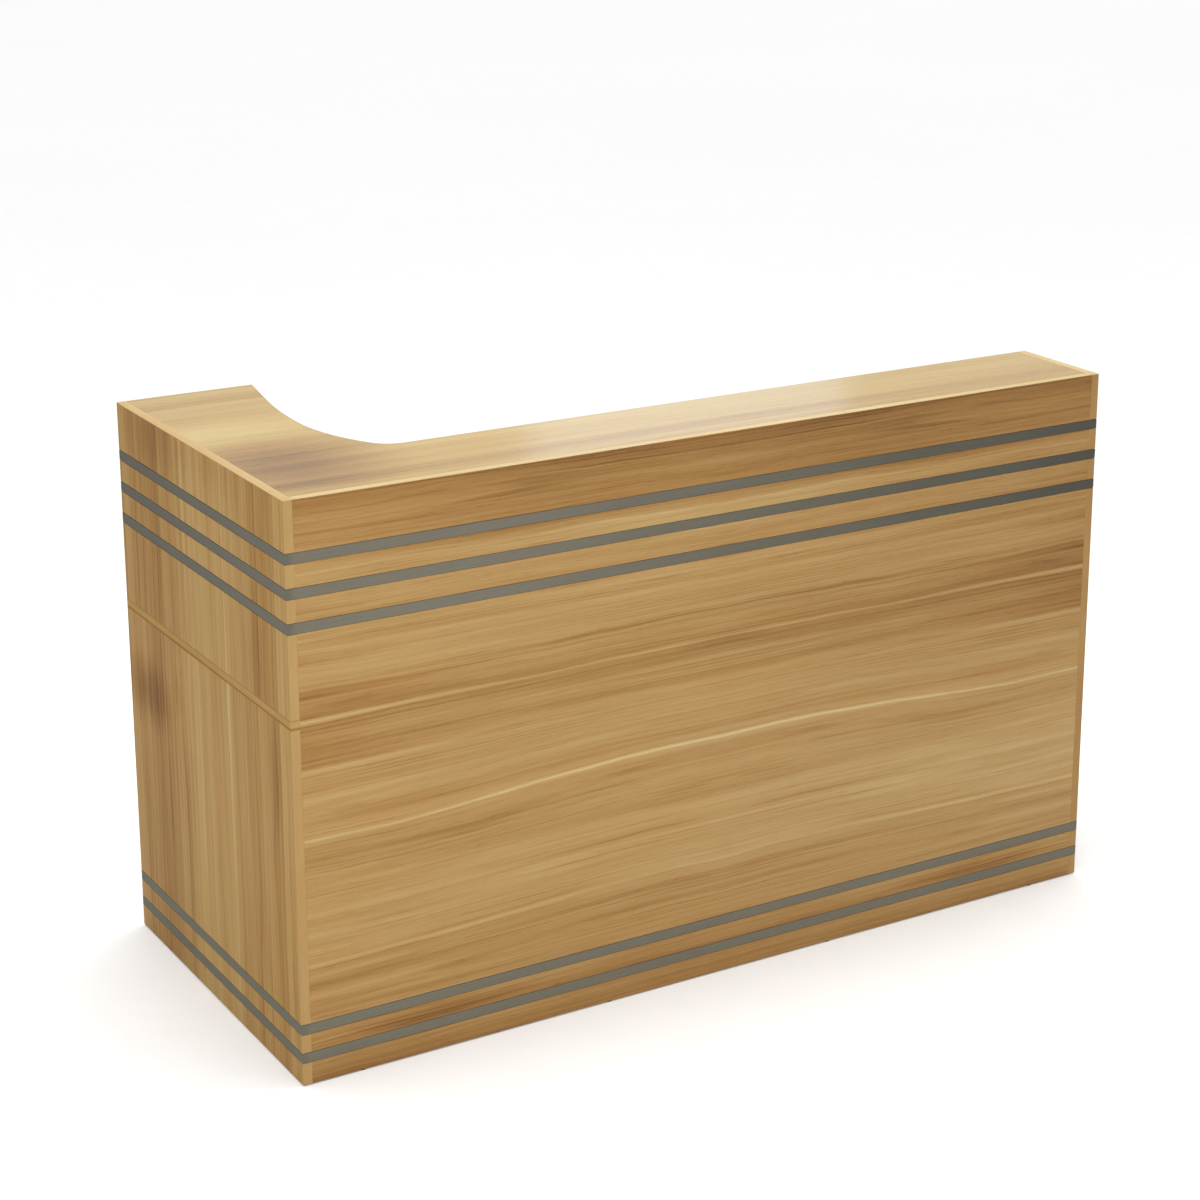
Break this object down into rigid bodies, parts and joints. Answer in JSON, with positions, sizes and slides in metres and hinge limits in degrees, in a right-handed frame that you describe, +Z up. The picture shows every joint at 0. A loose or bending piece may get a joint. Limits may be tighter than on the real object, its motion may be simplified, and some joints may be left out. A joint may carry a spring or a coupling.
{
  "type": "checkout counter",
  "caption": "Straight wood-grain service counter with a raised customer shelf that turns back at one end, grey inlay strips, and a staff side with drawer, cupboard and shelves.",
  "frame": {"origin": "on the floor under the middle of the counter's footprint", "axes": "+Z up; +X along the counter to the customer's right, so the shelf's arm is at -X; -Y faces the customer, +Y the staff"},
  "size_m": [1.792, 0.788, 1.1],
  "materials": {
    "laminate": "satin melamine board with a straight-to-wavy elm grain",
    "edge_band": "satin ABS edge banding, light wood print",
    "grey_inlay": "matt grey PVC inlay strip",
    "drawer_box": "plain light drawer board",
    "zinc_steel": "bright zinc plate",
    "satin_nickel": "satin nickel plate",
    "cap_plastic": "wood-coloured plastic cover cap",
    "dark_plastic": "fine-textured black plastic"
  },
  "bodies": {
    "carcass": {"cam_bolts": "zinc_steel", "cam_cover_caps": "cap_plastic", "cam_housings": "zinc_steel", "counter_top": "laminate", "counter_top_edge_bands": "edge_band", "cupboard_shelf": "laminate", "desktop": "laminate", "desktop_edge_bands": "edge_band", "drawer_outer_rails": "zinc_steel", "floor_glides": "dark_plastic", "front_inlay_strips": "grey_inlay", "front_panel": "laminate", "grommet_ring": "dark_plastic", "hinge_fixed_leaves": "zinc_steel", "hinge_pins": "zinc_steel", "inner_board_edge_bands": "edge_band", "left_inlay_strips": "grey_inlay", "left_lower_side_panel": "laminate", "left_upper_side_panel": "laminate", "lock_strike": "zinc_steel", "magnetic_catch": "dark_plastic", "outer_panel_edge_bands": "edge_band", "pedestal_bottom_board": "laminate", "pedestal_kickboard": "laminate", "pedestal_side_panel": "laminate", "right_inlay_strips": "grey_inlay", "right_side_panel": "laminate", "riser_divider_left": "laminate", "riser_divider_middle": "laminate", "riser_divider_right": "laminate", "riser_shelf": "laminate", "shelf_pins": "zinc_steel", "shelf_unit_bottom_board": "laminate", "shelf_unit_kickboard": "laminate", "shelf_unit_partition": "laminate", "shelf_unit_shelf": "laminate", "tray_outer_rails": "zinc_steel", "wing_divider": "laminate", "wing_end_panel": "laminate"},
    "drawer": {"drawer_front": "laminate", "drawer_front_edge_bands": "edge_band", "drawer_sides": "drawer_box", "drawer_back": "drawer_box", "drawer_bottom": "drawer_box", "drawer_handle": "satin_nickel", "drawer_inner_rails": "zinc_steel", "lock_housing": "satin_nickel"},
    "drawer_runner": {"drawer_middle_rails": "zinc_steel"},
    "drawer_lock": {"lock_plug": "satin_nickel"},
    "door": {"cupboard_door": "laminate", "door_edge_bands": "edge_band", "door_handle": "satin_nickel", "hinge_moving_leaves": "zinc_steel", "catch_plate": "zinc_steel"},
    "keyboard_shelf": {"keyboard_tray": "laminate", "tray_edge_bands": "edge_band", "tray_inner_rails": "zinc_steel"},
    "grommet_lid": {"grommet_cap": "dark_plastic"}
  },
  "joints": [
    {"name": "drawer_slide", "type": "slide", "parent": "carcass", "child": "drawer", "axis": [0, 1, 0], "range_m": [0, 0.36]},
    {"name": "drawer_runner_slide", "type": "slide", "parent": "carcass", "child": "drawer_runner", "axis": [0, 1, 0], "range_m": [0, 0.18]},
    {"name": "lock_turn", "type": "hinge", "parent": "drawer", "child": "drawer_lock", "pos_m": [-0.668, 0.359, 0.655], "axis": [0, -1, 0], "range_deg": [0, 90]},
    {"name": "door_hinge", "type": "hinge", "parent": "carcass", "child": "door", "pos_m": [-0.8751, 0.3619, 0.306], "axis": [0, 0, 1], "range_deg": [0, 95]},
    {"name": "keyboard_slide", "type": "slide", "parent": "carcass", "child": "keyboard_shelf", "axis": [0, 1, 0], "range_m": [0, 0.25]},
    {"name": "grommet_turn", "type": "hinge", "parent": "carcass", "child": "grommet_lid", "pos_m": [0.104, -0.299, 0.702], "axis": [0, 0, 1], "continuous": true}
  ],
  "couplings": [
    {"joint": "drawer_runner_slide", "follows": "drawer_slide", "ratio": 0.5}
  ]
}
